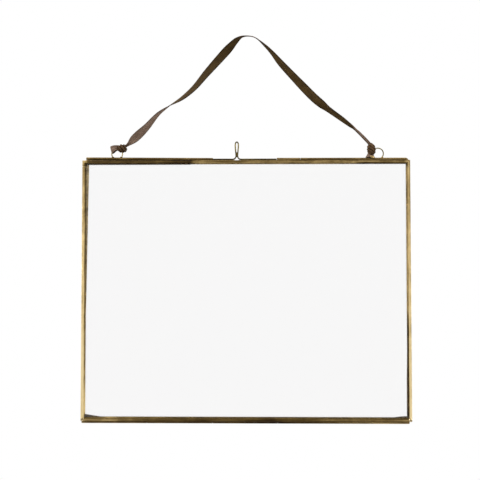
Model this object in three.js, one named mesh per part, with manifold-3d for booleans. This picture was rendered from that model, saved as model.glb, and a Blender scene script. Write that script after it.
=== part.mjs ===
// A floating picture frame: two panes of glass, each edged with folded brass channel, that open like a book
// on a rolled-barrel hinge along the bottom. A sliding wire bolt closes the top edge, and the frame hangs
// from a ribbon tied to two wire rings.
// Millimetres. +X is to the right, +Y to the back and +Z up. The origin is under the middle of the hinge.

import * as THREE from 'three';
import { mergeVertices } from 'three/addons/utils/BufferGeometryUtils.js';
import Module from 'manifold-3d';

const wasm = await Module();
wasm.setup();

// Panels
const panelWidth = 262;
const panelHeight = 207.2;
const panelDepth = 3.2;
const panelGap = 0.4; // between the two closed panels
const stripWidth = 2.7; // a channel's width as seen on the panel's face
const sheet = 0.5; // folded brass sheet
const edgeRounding = 0.6;
const earLength = 5; // how far the top channel's folded ends reach down the sides
const seam = 0.1; // gap between two channels at a soldered joint

// Glass
const glassThickness = 2;
const slotDepth = 2.2; // the channel's inside, front lip to back lip
const glassToWeb = 0.2;

// Rolled barrels
const barrelRadius = 1.1;
const boreRadius = 0.7;
const leafThickness = 0.4; // the flat tail of a barrel, soldered to its channel
const leafReach = 3;
const solderGap = 0.05;
const knuckleGap = 0.3;
const barrelArcSteps = 12; // steps in half a turn

// Hinge
const hingeStart = -130.3;
const hingeEnd = 129;
const knuckleCount = 5;
const pinRadius = 0.6;
const pinHeadRadius = 0.95;
const pinHeadLength = 0.45;
const pinHeadGap = 0.1;

// Top edge, as x positions of the barrels' ends
const leftBarrel = [-128.3, -26.4];
const keeperBarrel = [25.0, 43.6];
const rightBarrel = [43.9, 128.6];

// Wires
const wireArcSteps = 6; // steps in half a turn of a wire's section

// Sliding wire bolt
const boltWireRadius = 0.55;
const boltX = -7.2; // the finger loop's centre with the bolt just drawn back out of its keeper
const boltLeftLeg = 61.0;
const boltRightLeg = 31.9;
const loopHeight = 13.9;
const loopHalfWidth = 1.2;
const loopNeckHalfWidth = 0.66;
const loopNeckHeight = 2.4;

// Hanging rings
const ringWireRadius = 0.45;
const ringRadius = 4.35; // to the middle of the wire
const ringRise = 3.3; // the ring's centre above the barrel's crown
const ringOpenAngle = THREE.MathUtils.degToRad(48); // half of the arc that the barrel closes
const ringLeftX = -103.6;
const ringRightX = 105.9;

// Ribbon
const ribbonWidth = 6.5;
const ribbonThickness = 0.8;
const ribbonTop = 100.6; // the ribbon's middle at its highest point, above the panels
const knotDepth = 5.6;
const loopDepth = 2.6;
const wireClearance = 0.25;

// Heights that follow from the sizes above
const hingeZ = barrelRadius;
const panelBottom = hingeZ + barrelRadius + solderGap;
const panelTop = panelBottom + panelHeight;
const topBarrelZ = panelTop + solderGap + barrelRadius;
const barrelCrown = topBarrelZ + barrelRadius;
const ringZ = barrelCrown + ringRise;

// Which panel a piece belongs to, as the side of the middle plane it lies on
const BACK = 1;
const FRONT = -1;

const brass = new THREE.MeshStandardMaterial({ color: 0x8f7a45, roughness: 0.42, metalness: 1 });
const darkBrass = new THREE.MeshStandardMaterial({ color: 0x5e4724, roughness: 0.5, metalness: 1 });
const paleBrass = new THREE.MeshStandardMaterial({ color: 0xb8a26f, roughness: 0.35, metalness: 1 });
const glass = new THREE.MeshStandardMaterial({
  color: 0xf4f6f5,
  roughness: 0.05,
  metalness: 0,
  transparent: true,
  opacity: 0.25,
});
const ribbonCloth = new THREE.MeshStandardMaterial({ color: 0x6b543f, roughness: 0.85, metalness: 0 });

function piece(name, geometry, material) {
  const mesh = new THREE.Mesh(geometry, material);
  mesh.name = name;
  return mesh;
}

// Geometry to manifold solid and back, for the joins and cuts

function toSolid(geometry) {
  const bare = geometry.clone();
  bare.deleteAttribute('normal');
  bare.deleteAttribute('uv');
  const merged = mergeVertices(bare, 1e-4);
  return new wasm.Manifold(
    new wasm.Mesh({
      numProp: 3,
      vertProperties: merged.attributes.position.array,
      triVerts: new Uint32Array(merged.index.array),
    }),
  );
}

function toGeometry(solid) {
  const mesh = solid.getMesh();
  const geometry = new THREE.BufferGeometry();
  geometry.setAttribute('position', new THREE.BufferAttribute(mesh.vertProperties, 3));
  geometry.setIndex(new THREE.BufferAttribute(mesh.triVerts, 1));
  return geometry;
}

function cut(geometry, tool) {
  return toGeometry(toSolid(geometry).subtract(toSolid(tool)));
}

// A curve that takes the same number of steps between every two of its points, however far apart they are

class SteppedCurve extends THREE.CatmullRomCurve3 {
  getUtoTmapping(u) {
    return u;
  }
}

function wire(points, radius, stepsPerPoint) {
  const section = new THREE.Shape().absarc(0, 0, radius, 0, 2 * Math.PI);
  const path = new SteppedCurve(points);
  const steps = (points.length - 1) * stepsPerPoint;
  return new THREE.ExtrudeGeometry(section, { steps, extrudePath: path, curveSegments: wireArcSteps });
}

// Panels. Outlines are drawn on the panel's face, about its centre.

const halfWidth = panelWidth / 2;
const halfHeight = panelHeight / 2;
const innerX = halfWidth - stripWidth;
const innerZ = halfHeight - stripWidth;

function topOutline() {
  return [
    [-halfWidth, halfHeight - earLength],
    [-innerX, halfHeight - earLength],
    [-innerX, innerZ],
    [innerX, innerZ],
    [innerX, halfHeight - earLength],
    [halfWidth, halfHeight - earLength],
    [halfWidth, halfHeight],
    [-halfWidth, halfHeight],
  ];
}

function sideOutline(side) {
  const top = halfHeight - earLength - seam;
  return [
    [side * halfWidth, -halfHeight],
    [side * innerX, -innerZ],
    [side * innerX, top],
    [side * halfWidth, top],
  ];
}

function bottomOutline() {
  return [
    [-halfWidth + seam, -halfHeight],
    [halfWidth - seam, -halfHeight],
    [innerX - seam, -innerZ],
    [-innerX + seam, -innerZ],
  ];
}

function channel(outline) {
  const shape = new THREE.Shape(outline.map(([x, z]) => new THREE.Vector2(x, z)));
  const body = new THREE.ExtrudeGeometry(shape, {
    depth: panelDepth - 2 * edgeRounding,
    bevelThickness: edgeRounding,
    bevelSize: edgeRounding,
    bevelOffset: -edgeRounding,
    bevelSegments: 3,
  });
  body.translate(0, 0, edgeRounding - panelDepth / 2);
  body.rotateX(Math.PI / 2);
  const slot = new THREE.BoxGeometry(panelWidth - 2 * sheet, slotDepth, panelHeight - 2 * sheet);
  return cut(body, slot);
}

function pane() {
  const inset = 2 * (sheet + glassToWeb);
  return new THREE.BoxGeometry(panelWidth - inset, glassThickness, panelHeight - inset);
}

function panel(name, side) {
  const group = new THREE.Group();
  group.add(piece(`${name}_top_channel`, channel(topOutline()), brass));
  group.add(piece(`${name}_bottom_channel`, channel(bottomOutline()), brass));
  group.add(piece(`${name}_left_channel`, channel(sideOutline(-1)), brass));
  group.add(piece(`${name}_right_channel`, channel(sideOutline(1)), brass));
  group.add(piece(`${name}_glass`, pane(), glass));
  group.position.set(0, (side * (panelGap + panelDepth)) / 2, panelBottom + halfHeight);
  return group;
}

// Rolled barrels. The section has its leaf below the tube, reaching back from the middle plane.

function barrelSection() {
  const leafTop = -barrelRadius + leafThickness;
  const leafMeetsTube = Math.sqrt(barrelRadius ** 2 - leafTop ** 2);
  const section = new THREE.Shape();
  section.moveTo(0, -barrelRadius);
  section.lineTo(leafReach, -barrelRadius);
  section.lineTo(leafReach, leafTop);
  section.absarc(0, 0, barrelRadius, Math.atan2(leafTop, leafMeetsTube), 1.5 * Math.PI);
  section.holes.push(new THREE.Path().absarc(0, 0, boreRadius, 0, 2 * Math.PI, true));
  return section;
}

function barrel(name, [start, end], side, onTop, material) {
  const length = end - start;
  const geometry = new THREE.ExtrudeGeometry(barrelSection(), {
    depth: length,
    bevelEnabled: false,
    curveSegments: barrelArcSteps,
  });
  geometry.translate(0, 0, -length / 2);
  geometry.rotateY(Math.PI / 2);
  geometry.rotateX(Math.PI / 2);
  const mesh = piece(name, geometry, material);
  mesh.position.set((start + end) / 2, 0, onTop ? topBarrelZ : hingeZ);
  const turnedOver = onTop ? 0 : Math.PI;
  const turnedAbout = (side === BACK) === onTop ? 0 : Math.PI;
  mesh.rotation.set(turnedOver, 0, turnedAbout);
  return mesh;
}

function hinge() {
  const group = new THREE.Group();
  const pitch = (hingeEnd - hingeStart + knuckleGap) / knuckleCount;
  const counts = { back: 0, front: 0 };
  for (let i = 0; i < knuckleCount; i++) {
    const owner = i % 2 === 0 ? 'back' : 'front';
    const start = hingeStart + i * pitch;
    const ends = [start, start + pitch - knuckleGap];
    counts[owner] += 1;
    const name = `${owner}_hinge_knuckle_${counts[owner]}`;
    group.add(barrel(name, ends, owner === 'back' ? BACK : FRONT, false, brass));
  }
  return group;
}

function hingePin() {
  const headStart = hingeStart - pinHeadGap;
  const headEnd = hingeEnd + pinHeadGap;
  const profile = [
    [0, headStart - pinHeadLength],
    [pinHeadRadius / 2, headStart - pinHeadLength],
    [pinHeadRadius, headStart - pinHeadLength / 2],
    [pinHeadRadius, headStart],
    [pinRadius, headStart],
    [pinRadius, headEnd],
    [pinHeadRadius, headEnd],
    [pinHeadRadius, headEnd + pinHeadLength / 2],
    [pinHeadRadius / 2, headEnd + pinHeadLength],
    [0, headEnd + pinHeadLength],
  ];
  const points = profile.map(([radius, x]) => new THREE.Vector2(radius, x));
  const geometry = new THREE.LatheGeometry(points, 20);
  geometry.rotateZ(-Math.PI / 2);
  const mesh = piece('hinge_pin', geometry, darkBrass);
  mesh.position.z = hingeZ;
  return mesh;
}

// The bolt: a straight leg in the left barrel, a finger loop pinched at its neck, and a shorter right leg.

function boltPath() {
  const leftHalf = [
    [-boltLeftLeg, 0],
    [-boltLeftLeg / 2, 0],
    [-6, 0],
    [-3.2, 0],
    [-2.0, 0.3],
    [-1.15, 1.15],
    [-loopNeckHalfWidth, loopNeckHeight],
    [-0.68, 4.0],
    [-0.95, 6.8],
    [-loopHalfWidth, 9.6],
    [-loopHalfWidth, loopHeight - 1.6],
    [-0.7, loopHeight - 0.4],
  ];
  const rightHalf = leftHalf.slice(2).map(([x, z]) => [-x, z]);
  const outline = [...leftHalf, [0, loopHeight], ...rightHalf.reverse(), [boltRightLeg, 0]];
  return outline.map(([x, z]) => new THREE.Vector3(x, 0, z));
}

function bolt() {
  const mesh = piece('latch_wire', wire(boltPath(), boltWireRadius, 3), paleBrass);
  mesh.position.set(boltX, 0, topBarrelZ);
  return mesh;
}

// Hanging rings, open where they stand on the barrel

function ringWire(radius, openAngle) {
  const pointCount = 17;
  const start = -Math.PI / 2 + openAngle;
  const sweep = 2 * Math.PI - 2 * openAngle;
  const points = [];
  for (let i = 0; i < pointCount; i++) {
    const angle = start + (sweep * i) / (pointCount - 1);
    points.push(new THREE.Vector3(ringRadius * Math.cos(angle), 0, ringRadius * Math.sin(angle)));
  }
  return wire(points, radius, 2);
}

function ring(name, x) {
  const mesh = piece(name, ringWire(ringWireRadius, ringOpenAngle), paleBrass);
  mesh.position.set(x, 0, ringZ);
  return mesh;
}

// Ribbon knots: a lump tied on the ring's wire and the flat loop that passes round it, with room for the
// wire. Centres are about the ring's centre and radii are along X and Z.

function lump([x, z], [radiusX, radiusZ]) {
  const geometry = new THREE.SphereGeometry(1, 18, 12);
  geometry.scale(radiusX, knotDepth / 2, radiusZ);
  geometry.translate(x, 0, z);
  return toSolid(geometry);
}

function flatLoop([x, z], [radiusX, radiusZ]) {
  const outline = new THREE.Shape().absellipse(x, z, radiusX, radiusZ, 0, 2 * Math.PI);
  const extrusion = { depth: loopDepth, bevelEnabled: false, curveSegments: 16 };
  const geometry = new THREE.ExtrudeGeometry(outline, extrusion);
  geometry.translate(0, 0, -loopDepth / 2);
  geometry.rotateX(Math.PI / 2);
  return toSolid(geometry);
}

function knot(name, ringX, knotCentre, knotRadii, loopCentre, loopRadii) {
  const wireSpace = toSolid(ringWire(ringWireRadius + wireClearance, ringOpenAngle / 2));
  const tied = lump(knotCentre, knotRadii).add(flatLoop(loopCentre, loopRadii)).subtract(wireSpace);
  const mesh = piece(name, toGeometry(tied), ribbonCloth);
  mesh.position.set(ringX, 0, ringZ);
  return mesh;
}

// The ribbon's hanging span. Its width turns about the path: a turn of 0 lays it flat across the middle
// plane and a quarter turn faces it to the front.

class TurnedCurve extends SteppedCurve {
  constructor(points, turns) {
    super(points);
    this.turns = new THREE.SplineCurve(turns.map((turn, i) => new THREE.Vector2(i, turn)));
  }

  computeFrenetFrames(steps) {
    const frames = { tangents: [], normals: [], binormals: [] };
    for (let i = 0; i <= steps; i++) {
      const tangent = this.getTangentAt(i / steps);
      const turn = this.turns.getPoint(i / steps).y * 2 * Math.PI;
      const normal = new THREE.Vector3(-tangent.z, 0, tangent.x).multiplyScalar(Math.sin(turn));
      normal.y = Math.cos(turn);
      frames.tangents.push(tangent);
      frames.normals.push(normal);
      frames.binormals.push(new THREE.Vector3().crossVectors(tangent, normal));
    }
    return frames;
  }
}

function ribbonSpan() {
  // x, height above the panels, and turn in whole turns
  const stations = [
    [-94.5, 15, 0.2],
    [-88, 19.6, 0.27],
    [-77.5, 30, 0.38],
    [-65.8, 41.7, 0.5],
    [-56, 47.6, 0.58],
    [-46, 55, 0.64],
    [-32, 70.8, 0.73],
    [-17.5, 87, 0.8],
    [-8.5, 96.4, 0.94],
    [-3, ribbonTop, 1],
    [0, ribbonTop, 1],
    [4, ribbonTop, 1],
    [6.5, ribbonTop, 1],
    [14.5, 93.4, 0.99],
    [25, 82, 0.92],
    [40.5, 65, 0.84],
    [55, 50.2, 0.79],
    [71, 37.7, 0.91],
    [85, 27, 0.96],
    [96.5, 15.5, 0.98],
  ];
  const points = stations.map(([x, z]) => new THREE.Vector3(x, 0, panelTop + z));
  const path = new TurnedCurve(points, stations.map(([, , turn]) => turn));
  const section = new THREE.Shape([
    new THREE.Vector2(-ribbonWidth / 2, -ribbonThickness / 2),
    new THREE.Vector2(ribbonWidth / 2, -ribbonThickness / 2),
    new THREE.Vector2(ribbonWidth / 2, ribbonThickness / 2),
    new THREE.Vector2(-ribbonWidth / 2, ribbonThickness / 2),
  ]);
  const steps = (stations.length - 1) * 4;
  const geometry = new THREE.ExtrudeGeometry(section, { steps, extrudePath: path });
  return piece('ribbon_span', geometry, ribbonCloth);
}

const frame = new THREE.Group();
frame.add(panel('back', BACK));
frame.add(panel('front', FRONT));
frame.add(hinge());
frame.add(hingePin());
frame.add(barrel('left_bolt_barrel', leftBarrel, BACK, true, darkBrass));
frame.add(barrel('keeper_barrel', keeperBarrel, FRONT, true, darkBrass));
frame.add(barrel('right_bolt_barrel', rightBarrel, BACK, true, darkBrass));
frame.add(bolt());
frame.add(ring('left_ring', ringLeftX));
frame.add(ring('right_ring', ringRightX));
frame.add(knot('left_ribbon_knot', ringLeftX, [3.9, 4.7], [3.8, 3.3], [-1.4, 3.6], [4.2, 3.1]));
frame.add(knot('right_ribbon_knot', ringRightX, [-5.3, 3.2], [3.6, 3.4], [-6.3, -0.9], [3.5, 2.2]));
frame.add(ribbonSpan());

export default frame;
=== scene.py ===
import math

import bmesh
import bpy
import numpy as np
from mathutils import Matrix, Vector


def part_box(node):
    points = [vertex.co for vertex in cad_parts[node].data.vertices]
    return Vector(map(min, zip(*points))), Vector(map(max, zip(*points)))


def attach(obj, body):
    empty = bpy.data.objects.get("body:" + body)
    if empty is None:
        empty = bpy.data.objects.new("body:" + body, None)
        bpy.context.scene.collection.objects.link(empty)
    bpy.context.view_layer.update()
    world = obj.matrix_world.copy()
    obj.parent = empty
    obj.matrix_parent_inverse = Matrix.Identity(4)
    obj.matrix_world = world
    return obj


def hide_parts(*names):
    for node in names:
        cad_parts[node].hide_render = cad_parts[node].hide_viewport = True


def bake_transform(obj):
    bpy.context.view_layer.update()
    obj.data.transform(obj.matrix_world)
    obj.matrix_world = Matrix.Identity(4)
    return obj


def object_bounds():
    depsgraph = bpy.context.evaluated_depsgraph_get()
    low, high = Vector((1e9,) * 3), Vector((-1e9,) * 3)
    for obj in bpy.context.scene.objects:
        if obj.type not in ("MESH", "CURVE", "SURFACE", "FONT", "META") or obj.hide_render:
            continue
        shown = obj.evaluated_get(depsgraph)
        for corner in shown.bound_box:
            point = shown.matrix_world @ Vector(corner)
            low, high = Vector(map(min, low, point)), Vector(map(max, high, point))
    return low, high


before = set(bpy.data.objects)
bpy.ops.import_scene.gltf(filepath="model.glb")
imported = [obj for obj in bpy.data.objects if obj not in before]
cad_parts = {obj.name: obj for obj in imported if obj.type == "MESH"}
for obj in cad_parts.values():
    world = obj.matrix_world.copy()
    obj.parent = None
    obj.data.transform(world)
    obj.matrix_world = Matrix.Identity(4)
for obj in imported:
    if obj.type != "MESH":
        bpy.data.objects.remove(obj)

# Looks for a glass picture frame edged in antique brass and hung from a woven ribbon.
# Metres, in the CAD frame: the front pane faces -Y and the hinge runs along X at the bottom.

MM = 0.001
X_AXIS, Y_AXIS, Z_AXIS = np.eye(3)
CAD_LOW, CAD_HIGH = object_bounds()

# Places, all from the CAD nodes
TOP_LOW, TOP_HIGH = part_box("front_top_channel")
SIDE_LOW, SIDE_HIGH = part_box("front_left_channel")
BACK_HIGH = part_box("back_top_channel")[1]
PANEL_TOP = TOP_HIGH.z
PANEL_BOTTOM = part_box("front_bottom_channel")[0].z
PANEL_LEFT, PANEL_RIGHT = TOP_LOW.x, TOP_HIGH.x
STRIP = SIDE_HIGH.x - SIDE_LOW.x
SEAM_Z = SIDE_HIGH.z
FRONT_FACE, BACK_FACE = TOP_LOW.y, BACK_HIGH.y
BACK_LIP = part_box("back_top_channel")[0].y
LEFT_BARREL_LOW, LEFT_BARREL_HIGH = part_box("left_bolt_barrel")
BARREL_CROWN = LEFT_BARREL_HIGH.z
BARREL_Z = (LEFT_BARREL_LOW.z + BARREL_CROWN) / 2


def latch_loop_x():
    """The x of the latch wire's finger loop, which is the part of the wire above the barrels."""
    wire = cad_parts["latch_wire"]
    points = [wire.matrix_world @ vertex.co for vertex in wire.data.vertices]
    raised = [point.x for point in points if point.z > BARREL_CROWN]
    return (min(raised) + max(raised)) / 2


def ring_centre(node):
    low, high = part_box(node)
    outer_radius = (high.x - low.x) / 2
    return np.array([(low.x + high.x) / 2, 0, high.z - outer_radius])


LEFT_RING = ring_centre("left_ring")
RIGHT_RING = ring_centre("right_ring")


# ---------------------------------------------------------------- materials


class Shader:
    """The node tree of a material or world. An input given as another node's output is linked to it."""

    def __init__(self, owner):
        self.owner = owner
        owner.use_nodes = True
        self.tree = owner.node_tree
        self.tree.nodes.clear()

    def node(self, kind, inputs=None, **settings):
        made = self.tree.nodes.new(kind)
        for name, value in settings.items():
            setattr(made, name, value)
        for name, value in (inputs or {}).items():
            self.feed(made.inputs[name], value)
        return made

    def feed(self, socket, value):
        if isinstance(value, bpy.types.NodeSocket):
            self.tree.links.new(value, socket)
        else:
            socket.default_value = value

    def math(self, operation, a, b=0.0, c=0.0, clamp=False):
        inputs = {0: a, 1: b, 2: c}
        return self.node("ShaderNodeMath", inputs, operation=operation, use_clamp=clamp).outputs[0]

    def rise(self, value, start, end):
        """0 up to start, 1 from end on, and even between them. end may be the lower."""
        span = end - start
        return self.math("MULTIPLY_ADD", value, 1 / span, -start / span, clamp=True)

    def object_place(self):
        return self.node("ShaderNodeTexCoord").outputs["Object"]

    def split(self, vector):
        return self.node("ShaderNodeSeparateXYZ", {0: vector}).outputs

    def mix(self, share, a, b):
        made = self.node("ShaderNodeMix", {0: share}, data_type="RGBA")
        self.feed(made.inputs[6], a)
        self.feed(made.inputs[7], b)
        return made.outputs[2]

    def ramp(self, share, stops, interpolation="LINEAR"):
        made = self.node("ShaderNodeValToRGB", {0: share})
        ramp = made.color_ramp
        ramp.interpolation = interpolation
        while len(ramp.elements) < len(stops):
            ramp.elements.new(0.5)
        for element, (position, colour) in zip(ramp.elements, stops):
            element.position = position
            element.color = (*colour, 1) if isinstance(colour, tuple) else (colour, colour, colour, 1)
        return made.outputs[0]

    def noise(self, vector, stretch, detail=3.0, roughness=0.55):
        """Noise from 0 to 1 whose grains are 1/stretch long on each axis."""
        scaled = self.node("ShaderNodeMapping", {"Vector": vector, "Scale": stretch}).outputs[0]
        inputs = {"Vector": scaled, "Scale": 1.0, "Detail": detail, "Roughness": roughness}
        return self.node("ShaderNodeTexNoise", inputs).outputs[0]

    def bump(self, height, strength, distance):
        inputs = {"Height": height, "Strength": strength, "Distance": distance}
        return self.node("ShaderNodeBump", inputs).outputs[0]

    def surface(self, shader_output):
        self.node("ShaderNodeOutputMaterial", {"Surface": shader_output})
        return self.owner


def new_shader(name):
    return Shader(bpy.data.materials.new(name))


# Brass from bright rubbed metal, 0, to near-black patina, 1. On the strips its dark end also serves as
# painted shade and its bright end as painted highlight
PATINA_AND_SHADE_COLOURS = [
    (0.0, (1.0, 0.80, 0.43)),
    (0.25, (0.80, 0.60, 0.28)),
    (0.45, (0.36, 0.25, 0.10)),
    (0.65, (0.125, 0.080, 0.023)),
    (0.82, (0.060, 0.035, 0.008)),
    (1.0, (0.022, 0.010, 0.002)),
]
# Thin wires are greener
WIRE_COLOURS = [
    (0.0, (1.0, 0.86, 0.45)),
    (0.3, (0.62, 0.50, 0.24)),
    (0.6, (0.20, 0.160, 0.055)),
    (0.8, (0.060, 0.044, 0.011)),
    (1.0, (0.020, 0.013, 0.003)),
]
# Grains of noise to the metre
STREAK_ALONG = 35.0
WIRE_STREAK_ALONG = 250.0
STREAK_ACROSS = 1 / (1.1 * MM)
SPECK = 1 / (0.4 * MM)
STRIP_PATCH = 75.0
ROUND_PATCHES = [60.0, 160.0, 160.0]


def strip_position(shader, place):
    """How far a point is across its strip, from -1 at the inner edge to 1 at the outer one, and 1 on a
    side strip or 0 on a top or bottom one."""
    parts = shader.split(place)
    half_width = (PANEL_RIGHT - PANEL_LEFT - STRIP) / 2
    half_height = (PANEL_TOP - PANEL_BOTTOM - STRIP) / 2
    middle_z = (PANEL_TOP + PANEL_BOTTOM) / 2
    from_side = shader.math("SUBTRACT", shader.math("ABSOLUTE", parts[0]), half_width)
    height = shader.math("ABSOLUTE", shader.math("SUBTRACT", parts[2], middle_z))
    from_rail = shader.math("SUBTRACT", height, half_height)
    across = shader.math("MAXIMUM", from_side, from_rail)
    on_side = shader.math("GREATER_THAN", from_side, from_rail)
    return shader.math("DIVIDE", across, STRIP / 2), on_side


def rubbed_brass(shader, place, tone, streaks, patches, colours):
    """Brass whose tone is patina, varied by streaks, patches and specks. On the strips the tone also
    holds painted highlight and shade.
    """
    specks = shader.noise(place, [SPECK] * 3, detail=2.0)
    for grain, weight in ((patches, 0.6), (streaks, 0.6), (specks, 0.2)):
        tone = shader.math("ADD", tone, shader.math("MULTIPLY_ADD", grain, weight, -weight / 2))
    patina_and_painted_light = shader.math("ADD", tone, 0.0, clamp=True)
    inputs = {
        "Base Color": shader.ramp(patina_and_painted_light, colours),
        "Metallic": 0.5,
        "Roughness": shader.math("MULTIPLY_ADD", patina_and_painted_light, 0.15, 0.38),
        "Specular IOR Level": 0.15,
        "Normal": shader.bump(shader.math("MULTIPLY_ADD", specks, 0.6, streaks), 0.4, 0.06 * MM),
    }
    return shader.surface(shader.node("ShaderNodeBsdfPrincipled", inputs).outputs[0])


def tone_along(shader, place, axis, low, high, tone):
    """The tone at a place, from stops that run from low to high along an axis."""
    return shader.ramp(shader.rise(shader.split(place)[axis], low, high), tone)


def even(tone):
    """Stops for one tone throughout."""
    return [(0.0, tone), (1.0, tone)]


def strip_brass(name, axis, low, high, outer, middle, inner, inner_start):
    """Brass of a panel's strips, its grain along each strip. outer, middle and inner are the tone of
    the strip's outer edge, middle line and inner edge, which begins inner_start of the way to it. Along
    a strip the tone is patina. Across it the middle line, mostly lighter than the edges, is painted
    highlight, and the darker inner edge is painted shade."""
    shader = new_shader(name)
    place = shader.object_place()
    across, on_side = strip_position(shader, place)
    rail_streaks = shader.noise(place, [STREAK_ALONG, STREAK_ACROSS, STREAK_ACROSS], detail=4.0)
    side_streaks = shader.noise(place, [STREAK_ACROSS, STREAK_ACROSS, STREAK_ALONG], detail=4.0)
    streaks = shader.mix(on_side, rail_streaks, side_streaks)
    patches = shader.noise(place, [STRIP_PATCH] * 3, detail=4.0, roughness=0.65)
    tones = [tone_along(shader, place, axis, low, high, stops) for stops in (outer, middle, inner)]
    # Painted light across the strip: the inner edge's darker tone is painted shade, and the middle line
    # is painted highlight
    outward = shader.rise(across, 0.15, 0.65)
    inner_painted_shade = shader.rise(across, -inner_start, -inner_start - 0.4)
    tone = shader.mix(inner_painted_shade, shader.mix(outward, tones[1], tones[0]), tones[2])
    return rubbed_brass(shader, place, tone, streaks, patches, PATINA_AND_SHADE_COLOURS)


def round_brass(name, tone):
    """Brass of the barrels and the pieces by them, all of which run along X."""
    shader = new_shader(name)
    place = shader.object_place()
    streaks = shader.noise(place, [STREAK_ALONG, STREAK_ACROSS, STREAK_ACROSS], detail=4.0)
    patches = shader.noise(place, ROUND_PATCHES, detail=4.0, roughness=0.65)
    base = tone_along(shader, place, 0, PANEL_LEFT, PANEL_RIGHT, tone)
    return rubbed_brass(shader, place, base, streaks, patches, PATINA_AND_SHADE_COLOURS)


def solder_metal():
    shader = new_shader("solder")
    place = shader.object_place()
    grain = shader.noise(place, [900.0] * 3, detail=3.0)
    stops = [(0.25, (0.30, 0.21, 0.09)), (0.5, (0.56, 0.42, 0.21)), (0.75, (0.85, 0.72, 0.46))]
    inputs = {
        "Base Color": shader.ramp(grain, stops),
        "Metallic": 1.0,
        "Roughness": 0.32,
        "Normal": shader.bump(grain, 0.5, 0.1 * MM),
    }
    return shader.surface(shader.node("ShaderNodeBsdfPrincipled", inputs).outputs[0])


def clear_glass():
    """Float glass that lets light through to whatever it shades, with slight smudges in its gloss."""
    shader = new_shader("float_glass")
    place = shader.object_place()
    smudge = shader.noise(place, [28.0] * 3, detail=6.0, roughness=0.7)
    ripple = shader.noise(place, [9.0] * 3, detail=1.0)
    inputs = {
        "Base Color": (0.980, 0.979, 0.979, 1),
        "Roughness": shader.math("MULTIPLY", shader.math("GREATER_THAN", smudge, 0.62), 0.03),
        "IOR": 1.5,
        "Transmission Weight": 1.0,
        "Normal": shader.bump(ripple, 0.02, 0.5 * MM),
    }
    solid = shader.node("ShaderNodeBsdfPrincipled", inputs).outputs[0]
    shadow = shader.node("ShaderNodeBsdfTransparent", {0: (0.93, 0.95, 0.94, 1)}).outputs[0]
    is_shadow = shader.node("ShaderNodeLightPath").outputs["Is Shadow Ray"]
    both = shader.node("ShaderNodeMixShader", {0: is_shadow, 1: solid, 2: shadow})
    return shader.surface(both.outputs[0])


# Painted shade along the ribbon: how much of its thread colour it keeps from the left ring to the right
# one
RIBBON_PAINTED_SHADE = [(0.2, 0.85), (0.28, 0.6), (0.42, 0.6), (0.5, 0.85), (0.8, 0.85), (0.88, 1.0)]
RIBS_PER_WIDTH = 13.0
WARP_THREADS = 18.0


def ribbon_cloth(name, thread, groove, crease):
    """Ribbed woven ribbon. Its UV runs across the ribbon from 0 to 1, and along it in ribbon widths.
    crease is how strongly painted shade, from ambient occlusion, darkens its folds and creases."""
    shader = new_shader(name)
    calc = shader.math
    uv = shader.node("ShaderNodeUVMap", uv_map="weave").outputs[0]
    parts = shader.split(uv)
    rib_turn = calc("MULTIPLY", parts[1], RIBS_PER_WIDTH * 2 * math.pi)
    rib = calc("ABSOLUTE", calc("SINE", calc("MULTIPLY", rib_turn, 0.5)))
    row = calc("FLOOR", calc("MULTIPLY", parts[1], RIBS_PER_WIDTH))
    shift = calc("MULTIPLY", calc("MODULO", row, 2.0), math.pi)
    warp_turn = calc("MULTIPLY", parts[0], WARP_THREADS * 2 * math.pi)
    warp = calc("MULTIPLY_ADD", calc("SINE", calc("ADD", warp_turn, shift)), 0.5, 0.5)
    fibres = shader.noise(uv, [60.0, 25.0, 1.0], detail=4.0)
    wear = shader.noise(uv, [2.0, 0.8, 1.0], detail=4.0, roughness=0.7)
    height = calc("ADD", calc("MULTIPLY", rib, 0.75), calc("MULTIPLY", warp, 0.35))
    lit = calc("ADD", calc("MULTIPLY", height, 0.55), calc("MULTIPLY", fibres, 0.45))
    to_edge = calc("ABSOLUTE", calc("SUBTRACT", parts[0], 0.5))
    selvedge = shader.ramp(to_edge, [(0.36, 0.0), (0.46, 0.5)])
    worn = calc("MULTIPLY", calc("SUBTRACT", wear, 0.5), 1.5)
    shade = calc("SUBTRACT", calc("ADD", lit, worn), selvedge)
    # Painted shade: ambient occlusion darkens the cloth's colour in its folds and creases
    occlusion = shader.node("ShaderNodeAmbientOcclusion", {"Distance": 1.6 * MM}, samples=8)
    painted_crease_shade = calc("POWER", occlusion.outputs["AO"], crease)
    shade = calc("MULTIPLY", calc("ADD", shade, 0.0, clamp=True), painted_crease_shade)
    # Painted shade: darkens the ribbon's colour in stretches along X
    fade = tone_along(shader, shader.object_place(), 0, LEFT_RING[0], RIGHT_RING[0], RIBBON_PAINTED_SHADE)
    inputs = {
        "Base Color": shader.mix(calc("MULTIPLY", shade, fade), (*groove, 1), (*thread, 1)),
        "Roughness": 0.82,
        "Sheen Weight": 0.1,
        "Sheen Roughness": 0.5,
        "Sheen Tint": (*thread, 1),
        "Specular IOR Level": 0.1,
        "Normal": shader.bump(height, 0.7, 0.12 * MM),
    }
    return shader.surface(shader.node("ShaderNodeBsdfPrincipled", inputs).outputs[0])


# ---------------------------------------------------------------- CAD pieces


CHANNEL_EDGE = 0.1 * MM
BARREL_EDGE = 0.06 * MM
WIRE_EDGE = 0.05 * MM
PANE_EDGE = 0.15 * MM


def dress(node, material, edge):
    smooth_metal(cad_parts[node], material, edge)


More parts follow.
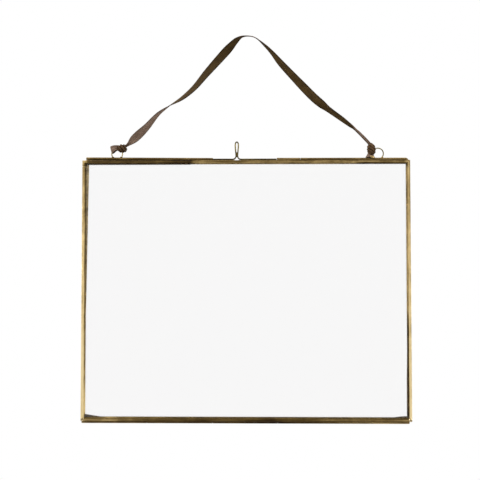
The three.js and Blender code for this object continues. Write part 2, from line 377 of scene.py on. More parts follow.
def smooth_metal(piece, material, edge):
    """Gives a piece its material, joins its facets into smooth rounds and softens its hard edges."""
    piece.data.materials.clear()
    piece.data.materials.append(material)
    for name in ("custom_normal", "sharp_edge", "sharp_face"):
        found = piece.data.attributes.get(name)
        if found:
            piece.data.attributes.remove(found)
    piece.data.polygons.foreach_set("use_smooth", [True] * len(piece.data.polygons))
    weld = piece.modifiers.new("weld", "WELD")
    weld.merge_threshold = 1e-6
    bevel = piece.modifiers.new("soft_edges", "BEVEL")
    bevel.width = edge
    bevel.segments = 2
    bevel.limit_method = "ANGLE"
    bevel.angle_limit = math.radians(40)
    bevel.harden_normals = True


# The tone of each strip's outer edge, middle line and inner edge: stops of distance along it, 0 to 1,
# and tone. Along a strip the tone is patina. The middle line, mostly lighter than the edges, is painted
# highlight, and the darker inner edge is painted shade
STRIP_TONES = {
    "top": {
        "outer": [
            (0.01, 0.48), (0.02, 0.92), (0.33, 0.95), (0.34, 0.63),
            (0.75, 0.62), (0.98, 0.7), (0.99, 0.48),
        ],
        "middle": [
            (0.01, 0.42), (0.02, 0.72), (0.33, 0.78), (0.34, 0.56),
            (0.83, 0.49), (0.98, 0.58), (0.99, 0.38),
        ],
        "inner": [
            (0.01, 0.8), (0.06, 0.78), (0.33, 0.95), (0.34, 0.55),
            (0.83, 0.52), (0.86, 0.9), (0.96, 0.65),
        ],
    },
    "bottom": {
        "outer": [
            (0.0, 0.5), (0.03, 0.6), (0.15, 0.7), (0.3, 0.78),
            (0.6, 0.8), (0.8, 0.72), (0.93, 0.6),
        ],
        "middle": [
            (0.0, 0.4), (0.03, 0.45), (0.12, 0.63), (0.3, 0.73),
            (0.55, 0.76), (0.8, 0.66), (0.93, 0.57),
        ],
        "inner": [(0.0, 0.6), (0.03, 0.64), (0.15, 0.66), (0.3, 0.78), (0.8, 0.77), (1.0, 0.8)],
    },
    "left": {
        "outer": [(0.0, 0.02), (0.25, 0.05), (0.5, 0.25), (0.75, 0.38), (1.0, 0.5)],
        "middle": [(0.0, 0.05), (0.25, 0.0), (0.5, 0.26), (0.75, 0.36), (1.0, 0.44)],
        "inner": [(0.0, 0.25), (0.15, 0.6), (0.5, 0.85), (0.75, 0.8), (1.0, 0.88)],
    },
    "right": {
        "outer": [(0.0, 0.1), (0.25, 0.28), (0.5, 0.26), (0.75, 0.45), (1.0, 0.5)],
        "middle": [(0.0, 0.0), (0.25, 0.0), (0.5, 0.18), (0.75, 0.3), (1.0, 0.37)],
        "inner": [(0.0, 0.95), (0.3, 0.85), (0.5, 0.5), (0.75, 0.5), (1.0, 0.55)],
    },
}


def dress_channels():
    across = (0, PANEL_LEFT, PANEL_RIGHT)
    up = (2, PANEL_BOTTOM, SEAM_Z)
    # Each strip's axis and ends, and where its inner edge's darker tone, which is painted shade, begins
    runs = {"top": (across, 0.15), "bottom": (across, 0.15), "left": (up, 0.55), "right": (up, 0.4)}
    for edge, ((axis, low, high), inner_start) in runs.items():
        tones = STRIP_TONES[edge]
        material = strip_brass(f"brass_{edge}", axis, low, high, **tones, inner_start=inner_start)
        for panel in ("front", "back"):
            dress(f"{panel}_{edge}_channel", material, CHANNEL_EDGE)


def barrel_lift(x):
    """How far the left barrel, fitted a little askew, stands above its drawn place at x."""
    rise = 0.7 * MM
    return rise * (LEFT_BARREL_HIGH.x - x) / (LEFT_BARREL_HIGH.x - LEFT_BARREL_LOW.x)


def askew_barrel(material):
    """The left barrel as it was fitted, its outer end a little high, over a line of filler."""
    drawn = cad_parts["left_bolt_barrel"]
    piece = bpy.data.objects.new("left_barrel", drawn.data.copy())
    piece.data.transform(drawn.matrix_world)
    for vertex in piece.data.vertices:
        vertex.co.z += barrel_lift(vertex.co.x)
    bpy.context.scene.collection.objects.link(piece)
    smooth_metal(piece, material, BARREL_EDGE)
    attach(piece, "back_panel")
    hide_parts("left_bolt_barrel")
    brass = round_brass("brass_filler", [(0.0, 0.45), (0.3, 0.52)])
    left, right = LEFT_BARREL_LOW.x + 1 * MM, LEFT_BARREL_HIGH.x
    bottom = PANEL_TOP - 0.1 * MM
    lifted = BARREL_Z + barrel_lift(left)
    outline = [(left, bottom), (right, bottom), (right, BARREL_Z), (left, lifted)]
    slab("left_barrel_filler", outline, -0.15 * MM, 0.6 * MM, brass)


def dress_barrels():
    top_tone = [
        (0.0, 0.6), (0.05, 0.7), (0.3, 0.74), (0.35, 0.6), (0.6, 0.64), (0.82, 0.67), (0.92, 0.6),
    ]
    low_tone = [
        (0.0, 0.56), (0.15, 0.67), (0.35, 0.8), (0.6, 0.88), (0.77, 0.66), (0.88, 0.52), (1.0, 0.55),
    ]
    top = round_brass("brass_top_barrel", top_tone)
    low = round_brass("brass_hinge_barrel", low_tone)
    askew_barrel(top)
    for node in ("keeper_barrel", "right_bolt_barrel"):
        dress(node, top, BARREL_EDGE)
    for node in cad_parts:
        if "hinge_knuckle" in node or node == "hinge_pin":
            dress(node, low, BARREL_EDGE)


def wire_brass(name, axis, low, high, tone):
    shader = new_shader(name)
    place = shader.object_place()
    streaks = shader.noise(place, [WIRE_STREAK_ALONG, STREAK_ACROSS, STREAK_ACROSS], detail=4.0)
    patches = shader.noise(place, ROUND_PATCHES, detail=4.0, roughness=0.65)
    base = tone_along(shader, place, axis, low, high, tone)
    return rubbed_brass(shader, place, base, streaks, patches, WIRE_COLOURS)


def dress_wires():
    """The rings, the left one more rubbed, and the latch wire, which is dark at its neck and feet."""
    rings = wire_brass("ring_wire", 0, PANEL_LEFT, PANEL_RIGHT, [(0.0, 0.5), (1.0, 0.62)])
    for node in ("left_ring", "right_ring"):
        dress(node, rings, WIRE_EDGE)
    low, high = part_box("latch_wire")
    tone = [(0.0, 0.85), (0.4, 0.8), (0.55, 0.6), (0.85, 0.6), (0.95, 0.78)]
    latch = wire_brass("latch_wire_brass", 2, low.z, high.z, tone)
    dress("latch_wire", latch, WIRE_EDGE)


def dress_glass():
    glass = clear_glass()
    for node in ("front_glass", "back_glass"):
        dress(node, glass, PANE_EDGE)


# ---------------------------------------------------------------- painted shade and fillers round the panes


def slab(name, outline, near, far, material):
    """A flat piece on the back panel, from its outline in x and z and its front and back y."""
    count = len(outline)
    points = [(x, y, z) for y in (near, far) for x, z in outline]
    faces = [tuple(range(count)), tuple(range(2 * count - 1, count - 1, -1))]
    for i in range(count):
        j = (i + 1) % count
        faces.append((i, i + count, j + count, j))
    piece = mesh_piece(name, points, faces)
    weld_ends(piece)
    piece.data.polygons.foreach_set("use_smooth", [False] * len(faces))
    piece.data.materials.append(material)
    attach(piece, "back_panel")


def fillet_and_painted_shade():
    """Painted shade and solder on the back pane, just inside its channels. The dark sheets are painted
    shade in the gaps round the panes.
    """
    left, right = PANEL_LEFT + STRIP, PANEL_RIGHT - STRIP
    bottom, top = PANEL_BOTTOM + STRIP, PANEL_TOP - STRIP
    brass = round_brass("brass_fillet", even(0.5))
    # Each is its name, the pane's corner it is measured from, its material, how deep it lies behind the
    # lip, and its outline, in mm
    shapes = [
        ("left_strip_fillet", left, top, brass, 0.2,
         [(-0.4, 0.4), (2.2, 0.4), (1.3, -60), (0.6, -110), (-0.4, -150)]),
        # The dark sheets below are painted shade in the gaps round the panes
        ("right_strip_shadow", right, bottom, PAINTED_SHADE, 0.1,
         [(0.4, -0.4), (0.4, 95), (-0.75, 30), (-0.85, -0.4)]),
        ("left_corner_painted_shade", left, bottom, PAINTED_SHADE, 0.15,
         [(-0.4, -0.4), (18, -0.4), (6, 1.3), (-0.4, 2.4)]),
        ("right_corner_painted_shade", right, bottom, PAINTED_SHADE, 0.15,
         [(0.4, -0.4), (0.4, 1.3), (-6, 1.0), (-16, -0.4)]),
        ("top_left_painted_shade", left, top, PAINTED_SHADE, 0.05,
         [(-0.4, 0.4), (-0.4, -0.65), (84, -0.5), (84.5, 0.4)]),
    ]
    for name, corner_x, corner_z, material, inset, outline in shapes:
        near = BACK_LIP + inset * MM
        placed = [(corner_x + x * MM, corner_z + z * MM) for x, z in outline]
        slab(name, placed, near, near + 0.3 * MM, material)


def latch_seats():
    """The cut-away tube's lower wall, under the latch wire on each side of its finger loop."""
    wire_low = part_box("latch_wire")[0].z
    loop_centre = latch_loop_x()
    gap = 1.5 * MM
    spans = {
        "left": (LEFT_BARREL_HIGH.x, loop_centre - gap),
        "right": (loop_centre + gap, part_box("keeper_barrel")[0].x),
    }
    brass = round_brass("brass_seat", even(0.6))
    bottom = PANEL_TOP - 0.2 * MM
    top = wire_low - 0.05 * MM
    for side, (low, high) in spans.items():
        outline = [(low, bottom), (high, bottom), (high, top), (low, top)]
        slab(f"{side}_latch_seat", outline, -0.6 * MM, 0.6 * MM, brass)


# Near-black brown for the sheets of painted shade in the gaps round the panes
def painted_shade_material():
    shader = new_shader("painted_shade_material")
    place = shader.object_place()
    grain = shader.noise(place, [300.0] * 3, detail=4.0)
    inputs = {
        "Base Color": shader.ramp(grain, [(0.3, (0.03, 0.016, 0.004)), (0.7, (0.08, 0.048, 0.016))]),
        "Roughness": 0.75,
        "Specular IOR Level": 0.1,
        "Normal": shader.bump(grain, 0.4, 0.1 * MM),
    }
    return shader.surface(shader.node("ShaderNodeBsdfPrincipled", inputs).outputs[0])


# ---------------------------------------------------------------- solder


def bead(name, body, centre, radii, turn, seed, material):
    """A drop of solder, made lumpy by two waves round it. radii are along X, Y and Z in mm, before it
    turns about Y by turn."""
    rings, sides = 14, 24
    waves = np.random.default_rng(seed).uniform(0, 2 * math.pi, (2, 2))
    points = []
    for i in range(rings + 1):
        polar = math.pi * i / rings
        for j in range(sides):
            angle = 2 * math.pi * j / sides
            swell = 1 + 0.09 * math.sin(2 * angle + waves[0, 0]) * math.sin(polar)
            swell += 0.07 * math.sin(3 * angle + waves[1, 0]) * math.sin(2 * polar + waves[1, 1])
            girth = math.sin(polar)
            spoke = np.array([math.cos(polar), girth * math.cos(angle), girth * math.sin(angle)])
            points.append(np.array(radii) * MM * swell * spoke)
    x, y, z = np.array(points).T
    cos, sin = math.cos(turn), math.sin(turn)
    turned = np.stack([x * cos + z * sin, y, z * cos - x * sin], axis=1)
    piece = mesh_piece(name, turned + np.array(centre), ring_quads(rings + 1, sides))
    weld_ends(piece)
    piece.data.materials.append(material)
    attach(piece, body)


def ring_quads(count, sides):
    """The faces between rings of points, count rings of so many sides."""
    faces = []
    for i in range(count - 1):
        for j in range(sides):
            k = (j + 1) % sides
            faces.append((i * sides + j, i * sides + k, (i + 1) * sides + k, (i + 1) * sides + j))
    return faces


def mesh_piece(name, points, faces):
    mesh = bpy.data.meshes.new(name)
    mesh.from_pydata([tuple(p) for p in points], [], faces)
    mesh.update()
    mesh.polygons.foreach_set("use_smooth", [True] * len(mesh.polygons))
    piece = bpy.data.objects.new(name, mesh)
    bpy.context.scene.collection.objects.link(piece)
    return piece


def weld_ends(piece):
    """Merges points that share a place, as at a closed form's poles, and points the faces outwards."""
    work = bmesh.new()
    work.from_mesh(piece.data)
    bmesh.ops.remove_doubles(work, verts=work.verts, dist=1e-7)
    bmesh.ops.recalc_face_normals(work, faces=work.faces)
    work.to_mesh(piece.data)
    work.free()


def solder_panel(panel, face):
    """Beads on a panel's outer face, at its bottom mitres and at the seams under its top corners."""
    body = f"{panel}_panel"
    left, right = PANEL_LEFT + STRIP / 2, PANEL_RIGHT - STRIP / 2
    corner_z = PANEL_BOTTOM + STRIP / 2
    # Each is its name, its place in x and z, its radii, its turn and its seed
    drops = [
        ("left_corner", left, corner_z, (1.1, 0.35, 1.5), 0.5, 2),
        ("right_corner", right, corner_z, (1.35, 0.5, 1.25), 0.3, 4),
        ("left_seam", left, SEAM_Z, (1.25, 0.22, 0.34), 0.0, 7),
        ("right_seam", right, SEAM_Z, (1.25, 0.22, 0.34), 0.0, 9),
    ]
    for name, x, z, radii, turn, seed in drops:
        bead(f"{panel}_{name}_solder", body, (x, face, z), radii, turn, seed, SOLDER)


def solder_barrels():
    """Blobs that close the outer ends of the two bolt barrels and run down to the panel's corners."""
    brass = round_brass("brass_end", even(0.6))
    left = (LEFT_BARREL_LOW.x + 0.9 * MM, 0, PANEL_TOP + 0.5 * MM)
    right = (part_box("right_bolt_barrel")[1].x + 0.3 * MM, 0, BARREL_Z - 0.3 * MM)
    bead("left_barrel_end_solder", "back_panel", left, (1.3, 0.8, 0.8), -0.3, 11, brass)
    bead("right_barrel_end_solder", "back_panel", right, (1.5, 0.95, 0.8), 0.6, 13, brass)


def solder_rings():
    """A drop at each foot of the rings, and one that has spilled beside the right ring."""
    brass = round_brass("brass_foot", [(0.0, 0.62), (1.0, 0.52)])
    foot_reach = 3.35 * MM
    foot_z = BARREL_CROWN + 0.12 * MM
    left_x, right_x = LEFT_RING[0], RIGHT_RING[0]
    for side, x, lift in (("left", left_x, barrel_lift(left_x)), ("right", right_x, 0)):
        for hand, sign, seed in (("outer", -1, 4), ("inner", 1, 6)):
            foot = (x + sign * foot_reach, 0, foot_z + lift)
            name = f"{side}_ring_{hand}_solder"
            bead(name, "back_panel", foot, (0.95, 0.75, 0.5), 0.0, seed, brass)
    spill = RIGHT_RING + np.array([-4.9, -1.7, -2.9]) * MM
    pale = round_brass("brass_spill", even(0.42))
    bead("right_ring_spill_solder", "back_panel", spill, (1.7, 0.7, 0.8), 0.35, 15, pale)


def solder_latch_neck():
    """The drop that closes the latch wire's neck, under its finger loop."""
    brass = round_brass("brass_neck", even(0.74))
    neck = (latch_loop_x(), 0, BARREL_CROWN + 2.6 * MM)
    bead("latch_neck_solder", "bolt", neck, (0.85, 0.5, 1.9), 0.0, 17, brass)


# ---------------------------------------------------------------- ribbon


def smooth_path(stations, count):
    """Evenly spread points of a smooth curve through the stations, with their extra columns, and how
    far along the curve each is."""
    stations = np.array(stations, float)
    gaps = np.linalg.norm(np.diff(stations[:, :3], axis=0), axis=1) ** 0.5
    knots = np.concatenate([[0], np.cumsum(gaps)])
    slopes = np.gradient(stations, knots, axis=0)
    fine = np.linspace(0, knots[-1], 40 * len(stations))
    span = np.clip(np.searchsorted(knots, fine, side="right") - 1, 0, len(knots) - 2)
    width = (knots[span + 1] - knots[span])[:, None]
    t = ((fine - knots[span])[:, None]) / width
    a, b = stations[span], stations[span + 1]
    da, db = slopes[span] * width, slopes[span + 1] * width
    curve = (
        (2 * t**3 - 3 * t**2 + 1) * a
        + (t**3 - 2 * t**2 + t) * da
        + (3 * t**2 - 2 * t**3) * b
        + (t**3 - t**2) * db
    )
    walked = np.concatenate([[0], np.cumsum(np.linalg.norm(np.diff(curve[:, :3], axis=0), axis=1))])
    spread = np.linspace(0, walked[-1], count)
    return np.stack([np.interp(spread, walked, column) for column in curve.T], axis=1), spread


def unit(vectors):
    return vectors / np.linalg.norm(vectors, axis=1, keepdims=True)


RIBBON_WIDTH = 6.8 * MM
CLOTH_THICKNESS = 0.5 * MM
ACROSS_POINTS = 25


def set_weave(piece, uvs):
    """The UVs that ribbon_cloth reads, one for each corner of each face."""
    layer = piece.data.uv_layers.new(name="weave")
    layer.data.foreach_set("uv", np.array(uvs, np.float32).ravel())


def ribbon_band(name, centres, across, walked, half_widths, curl, pleat, cloths=None):
    """A thick woven band, its edges thickened by a selvedge. across is the direction of its width at
    each centre; curl lifts its edges and pleat gathers it into folds, both in metres at each centre."""
    tangents = unit(np.gradient(centres, walked, axis=0))
    across = unit(across - (across * tangents).sum(1, keepdims=True) * tangents)
    normals = np.cross(tangents, across)
    s = np.linspace(-1, 1, ACROSS_POINTS)
    hem, hem_width = 0.93, 0.035
    selvedge = 0.22 * np.exp(-(((np.abs(s) - hem) / hem_width) ** 2)) * (np.abs(s) < 1)
    half_thickness = CLOTH_THICKNESS * (np.sqrt(1 - np.abs(s) ** 14) / 2 + selvedge)
    lift = curl[:, None] * (s**2 - 1 / 3) + pleat[:, None] * np.cos(3 * math.pi * s)
    middle = (
        centres[:, None, :]
        + across[:, None, :] * (half_widths[:, None] * s)[:, :, None]
        + normals[:, None, :] * lift[:, :, None]
    )
    up = normals[:, None, :] * half_thickness[None, :, None]
    loop = np.concatenate([middle + up, (middle - up)[:, -2:0:-1]], axis=1)
    count, ring = loop.shape[:2]
    faces = ring_quads(count, ring)
    sides = [0 if j < ACROSS_POINTS - 1 else 1 for j in range(ring)] * (count - 1)
    faces.append(tuple(range(ring - 1, -1, -1)))
    faces.append(tuple((count - 1) * ring + j for j in range(ring)))
    s_ring = np.concatenate([s, s[-2:0:-1]])
    uvs = []
    for face in faces:
        uvs += [((s_ring[p % ring] + 1) / 2, walked[p // ring] / RIBBON_WIDTH) for p in face]
    piece = mesh_piece(name, loop.reshape(-1, 3), faces)
    set_weave(piece, uvs)
    for cloth in cloths or (CLOTH_PALE, CLOTH_DARK):
        piece.data.materials.append(cloth)
    piece.data.polygons.foreach_set("material_index", sides + [0, 0])
    return piece


# The hanging span: x, height above the panels, whole turns, share of the full width and pleat depth,
# lengths in mm
SPAN_STATIONS = [
    [-98.8, 10.8, 0.27, 0.32, 0.40],
    [-95.3, 12.9, 0.27, 0.36, 0.30],
    [-90.8, 17.0, 0.28, 0.88, 0.05],
    [-87.5, 20.1, 0.31, 1, 0],
    [-80.0, 27.5, 0.39, 1, 0],
    [-70.5, 38.3, 0.475, 1, 0],
    [-61.5, 44.8, 0.537, 1, 0],
    [-51.3, 50.9, 0.605, 1, 0],
    [-41.6, 59.2, 0.643, 1, 0],
    [-31.9, 70.6, 0.69, 1, 0],
    [-17.0, 87.3, 0.78, 1, 0],
    [-12.2, 92.6, 0.86, 1, 0],
    [-7.8, 97.3, 0.93, 1, 0],
    [-2.9, 100.6, 1.02, 1, 0],
    [2.0, 101.1, 1.045, 1, 0],
    [7.5, 99.8, 1.045, 1, 0],
    [16.0, 92.9, 0.995, 1, 0],
    [21.2, 87.5, 0.962, 1, 0],
    [27.5, 79.8, 0.905, 1, 0],
    [40.5, 65.7, 0.854, 1, 0],
    [54.5, 51.2, 0.785, 1, 0],
    [60.0, 46.4, 0.83, 1, 0],
    [65.5, 42.0, 0.912, 1, 0],
    [79.0, 32.1, 0.945, 0.95, 0.05],
    [84.5, 28.0, 0.97, 0.8, 0.45],
    [88.5, 24.6, 1.04, 0.68, 0.70],
    [93.5, 19.6, 1.09, 0.6, 0.60],
    [97.8, 15.1, 1.12, 0.5, 0.50],
    [101.2, 11.0, 1.13, 0.45, 0.50],
]


def ribbon_span():
    """The hanging span, from one knot over the top to the other, turning as it goes."""
    rows = [[x, 0, z, turn, share, pleat] for x, z, turn, share, pleat in SPAN_STATIONS]
    path, walked = smooth_path(rows, 620)
    centres = path[:, :3] * MM + Z_AXIS * PANEL_TOP
    walked = walked * MM
    ripple_depth = 0.35 * MM
    steady_length = 20 * MM
    ripple = ripple_depth * np.sin(walked / walked[-1] * 9.0)
    from_end = np.minimum(walked, walked[-1] - walked)
    centres[:, 1] += ripple * np.clip(from_end / steady_length, 0, 1)
    tangents = unit(np.gradient(path[:, :3], axis=0))
    in_plane = np.stack([-tangents[:, 2], 0 * tangents[:, 2], tangents[:, 0]], axis=1)
    turn = path[:, 3:4] * 2 * math.pi
    across = Y_AXIS * np.cos(turn) + in_plane * np.sin(turn)
    half_widths = RIBBON_WIDTH / 2 * path[:, 4]
    curl = 0.3 * MM * np.sin(walked / (37 * MM) + 0.6)
    piece = ribbon_band("ribbon", centres, across, walked, half_widths, curl, path[:, 5] * MM)
    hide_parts("ribbon_span")
    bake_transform(piece)


def wrap(name, centre, axis, radius, half_width, tilt, start):
    """A short piece of ribbon wound round a knot's axis, its edges tucked in."""
    axis = np.array(axis, float)
    axis /= np.linalg.norm(axis)
    side = np.cross(axis, Y_AXIS)
    side /= np.linalg.norm(side)
    count = 90
    turns = 1.15
    pitch = 0.4 * MM
    tucked_width = 0.55
    tuck_length = 0.12 * count
    angle = start + np.linspace(0, 2 * math.pi * turns, count)
    spoke = np.outer(np.cos(angle), side) + np.outer(np.sin(angle), Y_AXIS)
    along = (angle - angle.mean()) / (2 * math.pi) * pitch + tilt * radius * np.cos(angle)
    squash = np.array([1.0, 0.8, 1.0])
    centres = np.array(centre) + np.outer(along, axis) + spoke * radius * squash
    walked = np.concatenate([[0], np.cumsum(np.linalg.norm(np.diff(centres, axis=0), axis=1))])
    across = np.tile(axis, (count, 1))
    from_end = np.minimum(np.arange(count), np.arange(count)[::-1])
    taper = tucked_width + (1 - tucked_width) * np.clip(from_end / tuck_length, 0, 1)
    curl = 0.8 * half_width * taper
    pleat = 0.12 * MM * np.sin(angle * 2)
    cloths = (CLOTH_KNOT, CLOTH_KNOT)
    return ribbon_band(name, centres, across, walked, half_width * taper, curl, pleat, cloths)


def left_loop():
    """The flat loop that passes round the left ring's wire and into the knot."""
    # x, y and z about the ring's centre and half width, in mm, and how far its top leans right
    fold_x = -4.75
    pleat_reach = 8.0
    front = [
        [3.2, -0.9, 5.0, 1.5, 0.2],
        [1.4, -1.35, 5.1, 1.8, 0.2],
        [-0.6, -1.45, 4.9, 2.1, 0.1],
        [-2.6, -1.4, 4.3, 2.6, -0.1],
        [-4.2, -1.0, 3.4, 3.0, -0.25],
        [fold_x, 0, 3.1, 3.05, -0.28],
    ]
    back = [[x, -y, z, width, lean] for x, y, z, width, lean in front[-2::-1]]
    path, walked = smooth_path(front + back, 110)
    centres = LEFT_RING + path[:, :3] * MM
    across = -Z_AXIS - np.outer(path[:, 4], X_AXIS)
    curl = 0.3 * MM * np.sin(np.linspace(0, 3 * math.pi, len(path)))
    pleat = 0.2 * MM * np.clip((path[:, 0] - fold_x) / pleat_reach, 0, 1)
    half_widths = path[:, 3] * MM
    return ribbon_band("left_knot_loop", centres, across, walked * MM, half_widths, curl, pleat)


def skirt_point(t, angle, inset):
    """A point of the right loop, t of the way down it, in mm from its ring's centre."""
    arch_angle, arch_spread = 1.62 * math.pi, 0.45
    centre_x = -6.0 - 0.2 * t
    flare = t**1.4
    half_x = 1.9 + 1.6 * flare
    half_y = 1.35 + 0.45 * flare
    fold = 1 + 0.14 * t * math.sin(6 * angle + 0.7)
    arch = 0.7 * t * math.exp(-(((angle - arch_angle) / arch_spread) ** 2))
    x = centre_x + (half_x * fold - inset) * math.cos(angle)
    y = (half_y * fold - inset) * math.sin(angle)
    z = 1.3 - 4.45 * t
    return np.array([x, y, z + arch])


def skirt_faces(rows, sides, shell_size):
    """The outer shell's faces, the inner shell's turned about, and the rims that join the two."""
    faces = []
    for i in range(rows):
        for j in range(sides):
            k = (j + 1) % sides
            quad = (i * sides + j, (i + 1) * sides + j, (i + 1) * sides + k, i * sides + k)
            faces.append(quad)
            faces.append(tuple(shell_size + p for p in reversed(quad)))
    for row, flip in ((0, False), (rows, True)):
        for j in range(sides):
            k = (j + 1) % sides
            a, b = row * sides + j, row * sides + k
            quad = (a, b, shell_size + b, shell_size + a)
            faces.append(tuple(reversed(quad)) if flip else quad)
    return faces


def right_skirt():
    """The loop that spreads round the right ring's foot under its knot, an outer and an inner shell."""
    rows, sides = 16, 48
    ribbon_widths_round = 3.0
    shell_size = (rows + 1) * sides
    points = []
    for inset in (0.0, CLOTH_THICKNESS / MM):
        for i in range(rows + 1):
            for j in range(sides):
                point = skirt_point(i / rows, 2 * math.pi * j / sides, inset)
                points.append(RIGHT_RING + point * MM)
    faces = skirt_faces(rows, sides, shell_size)
    uvs = []
    for face in faces:
        columns = [v % sides for v in face]
        crosses = max(columns) - min(columns) > sides / 2
        for v, j in zip(face, columns):
            column = j + sides if crosses and j < sides / 2 else j
            row = (v % shell_size) // sides
            uvs.append((row / rows, column / sides * ribbon_widths_round))
    piece = mesh_piece("right_knot_loop", points, faces)
    set_weave(piece, uvs)
    piece.data.materials.append(CLOTH_PALE)
    return piece


def knot_core(name, centre, radii):
    """The bundled cloth inside a knot, behind its wraps."""
    rings, sides = 20, 32
    ribbon_widths_round = 2.0
    points, uvs, faces = [], [], []
    for i in range(rings + 1):
        polar = math.pi * i / rings
        for j in range(sides):
            angle = 2 * math.pi * j / sides
            crease = 1 + 0.09 * math.sin(4 * angle + 3 * polar) * math.sin(polar)
            points.append(np.array(centre) + crease * np.array([
                radii[0] * math.sin(polar) * math.cos(angle),
                radii[1] * math.sin(polar) * math.sin(angle),
                radii[2] * math.cos(polar),
            ]))
    for i in range(rings):
        for j in range(sides):
            k = (j + 1) % sides
            faces.append((i * sides + j, (i + 1) * sides + j, (i + 1) * sides + k, i * sides + k))
            for row, column in ((i, j), (i + 1, j), (i + 1, j + 1), (i, j + 1)):
                uvs.append((row / rings, column / sides * ribbon_widths_round))
    piece = mesh_piece(name, points, faces)
    set_weave(piece, uvs)
    weld_ends(piece)
    piece.data.materials.append(CLOTH_DARK)
    return piece


def knot(name, centre, axis, core, wraps, start):
    """Wraps wound round a core. Each wrap is its distance along the axis, radius and half width in mm,
    and its tilt."""
    pieces = [knot_core(f"{name}_core", centre, np.array(core) * MM)]
    axis = np.array(axis, float) / np.linalg.norm(axis)
    for i, (along, radius, half_width, tilt) in enumerate(wraps):
        place = centre + axis * along * MM
        piece = wrap(f"{name}_wrap_{i + 1}", place, axis, radius * MM, half_width * MM, tilt, start + i)
        pieces.append(piece)
    return pieces


def left_knot():
    centre = LEFT_RING + np.array([4.0, 0, 4.4]) * MM
    wraps = [
        (-2.9, 2.2, 0.95, -0.5),
        (-1.2, 3.0, 1.15, -0.35),
        (0.8, 3.1, 1.2, -0.2),
        (2.5, 2.3, 0.95, -0.05),
    ]
    pieces = [left_loop()] + knot("left_knot", centre, (0.93, 0, 0.37), (3.2, 1.8, 2.3), wraps, 1.9)
    for piece in pieces:
        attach(piece, "back_panel")
    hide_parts("left_ribbon_knot")


def right_knot():
    centre = RIGHT_RING + np.array([-5.3, 0, 3.2]) * MM
    wraps = [
        (-3.0, 2.1, 1.1, 0.35),
        (-1.6, 2.9, 1.2, 0.4),
        (0.1, 3.35, 1.3, 0.45),
        (1.8, 3.0, 1.2, 0.4),
        (3.2, 2.1, 1.1, 0.35),
    ]
    pieces = [right_skirt()] + knot("right_knot", centre, (0.3, 0, 0.95), (2.6, 1.9, 3.6), wraps, 2.4)
    for piece in pieces:
        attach(piece, "back_panel")
    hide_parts("right_ribbon_knot")


# ---------------------------------------------------------------- stage, light and camera


def pale_floor():
    """A white disc well under the hanging frame that fades out into the background. It lies lower than
    the front panel swings."""
    radius = 0.6
    count = 64
    angles = [2 * math.pi * i / count for i in range(count)]
    height = CAD_LOW.z - 1.15 * (PANEL_TOP - PANEL_BOTTOM)
    rim = [(radius * math.cos(angle), radius * math.sin(angle), height) for angle in angles]
    floor = mesh_piece("floor", rim, [tuple(range(count))])
    shader = new_shader("pale_floor")
    place = shader.object_place()
    distance = shader.node("ShaderNodeVectorMath", {0: place}, operation="LENGTH").outputs["Value"]
    fade = shader.ramp(shader.math("DIVIDE", distance, radius), [(0.35, 0.0), (0.97, 1.0)], "EASE")
    solid = shader.node("ShaderNodeBsdfDiffuse", {"Color": (0.88, 0.88, 0.88, 1)}).outputs[0]
    clear = shader.node("ShaderNodeBsdfTransparent").outputs[0]
    floor.data.materials.append(
        shader.surface(shader.node("ShaderNodeMixShader", {0: fade, 1: solid, 2: clear}).outputs[0])
    )


def studio_world():
    """White behind the object. What the metal reflects is a soft grey room, darker behind the camera
    and below."""
    world = bpy.data.worlds.new("studio")
    bpy.context.scene.world = world
    room = Shader(world)
    direction = room.node("ShaderNodeTexCoord").outputs["Generated"]
    parts = room.split(direction)
    height = room.math("MULTIPLY_ADD", parts[2], 0.5, 0.5)
    up = room.ramp(height, [(0.2, 0.22), (0.5, 0.5), (0.85, 0.8)])
    toward_camera = room.math("MULTIPLY", parts[1], -1.0)
    dark_side = room.ramp(toward_camera, [(0.45, 1.0), (0.95, 0.55)])
    grey = room.math("MULTIPLY", up, dark_side)
    reflected = room.node("ShaderNodeBackground", {"Color": grey}).outputs[0]
    white = room.node("ShaderNodeBackground", {"Color": (1, 1, 1, 1)}).outputs[0]
    path = room.node("ShaderNodeLightPath").outputs
    seen = room.math("MAXIMUM", path["Is Camera Ray"], path["Is Transmission Ray"])
    mix = room.node("ShaderNodeMixShader", {0: seen, 1: reflected, 2: white}).outputs[0]
    room.node("ShaderNodeOutputWorld", {"Surface": mix})
    bpy.context.scene.view_settings.view_transform = "Standard"


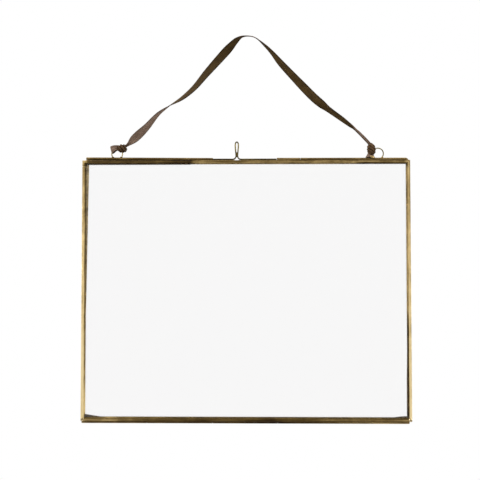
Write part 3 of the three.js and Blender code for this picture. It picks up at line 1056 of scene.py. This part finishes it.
def softbox(name, place, size, power, target):
    light = bpy.data.lights.new(name, "AREA")
    light.shape = "RECTANGLE"
    light.size, light.size_y = size
    light.energy = power
    lamp = bpy.data.objects.new(name, light)
    lamp.location = place
    lamp.rotation_euler = (Vector(target) - Vector(place)).to_track_quat("-Z", "Y").to_euler()
    lamp.visible_camera = False
    lamp.visible_transmission = False
    bpy.context.scene.collection.objects.link(lamp)


def studio_lights():
    middle = ((CAD_LOW + CAD_HIGH) / 2).to_tuple()
    softbox("key", (-1.1, -0.7, 1.0), (0.8, 0.8), 24, middle)
    softbox("fill", (1.3, -0.6, 0.4), (0.6, 1.0), 14, middle)
    softbox("top", (0, 0.1, 1.4), (1.2, 0.5), 8, middle)
    softbox("rim", (0.6, 1.2, 0.9), (1.0, 0.8), 6, middle)


def camera():
    """The product view: nearly straight on, a little right of the picture's centre and below it."""
    picture_width = 381.9 * MM
    distance = 556.6 * MM
    panel_middle = (PANEL_TOP + PANEL_BOTTOM) / 2
    picture_centre = Vector((-4.6 * MM, FRONT_FACE, panel_middle + 39.75 * MM))
    eye = Vector((2.9 * MM, FRONT_FACE - distance, panel_middle + 22 * MM))
    data = bpy.data.cameras.new("camera")
    data.sensor_width = 36.0
    data.lens = data.sensor_width * (picture_centre - eye).length / picture_width
    seen = bpy.data.objects.new("camera", data)
    seen.location = eye
    seen.rotation_euler = (picture_centre - eye).to_track_quat("-Z", "Y").to_euler()
    bpy.context.scene.collection.objects.link(seen)
    bpy.context.scene.camera = seen


SOLDER = solder_metal()
# Near-black painted shade for the gaps round the panes
PAINTED_SHADE = painted_shade_material()
# The last number is how strongly painted shade darkens each cloth's folds
CLOTH_DARK = ribbon_cloth("ribbon_face", (0.105, 0.062, 0.018), (0.014, 0.007, 0.002), 1.6)
CLOTH_PALE = ribbon_cloth("ribbon_back", (0.30, 0.205, 0.15), (0.065, 0.040, 0.026), 1.8)
CLOTH_KNOT = ribbon_cloth("ribbon_knot", (0.15, 0.085, 0.040), (0.014, 0.007, 0.002), 3.4)

dress_channels()
dress_barrels()
dress_wires()
dress_glass()
solder_panel("front", FRONT_FACE)
solder_panel("back", BACK_FACE)
solder_barrels()
solder_rings()
solder_latch_neck()
fillet_and_painted_shade()
latch_seats()
ribbon_span()
left_knot()
right_knot()
pale_floor()
studio_world()
studio_lights()
camera()
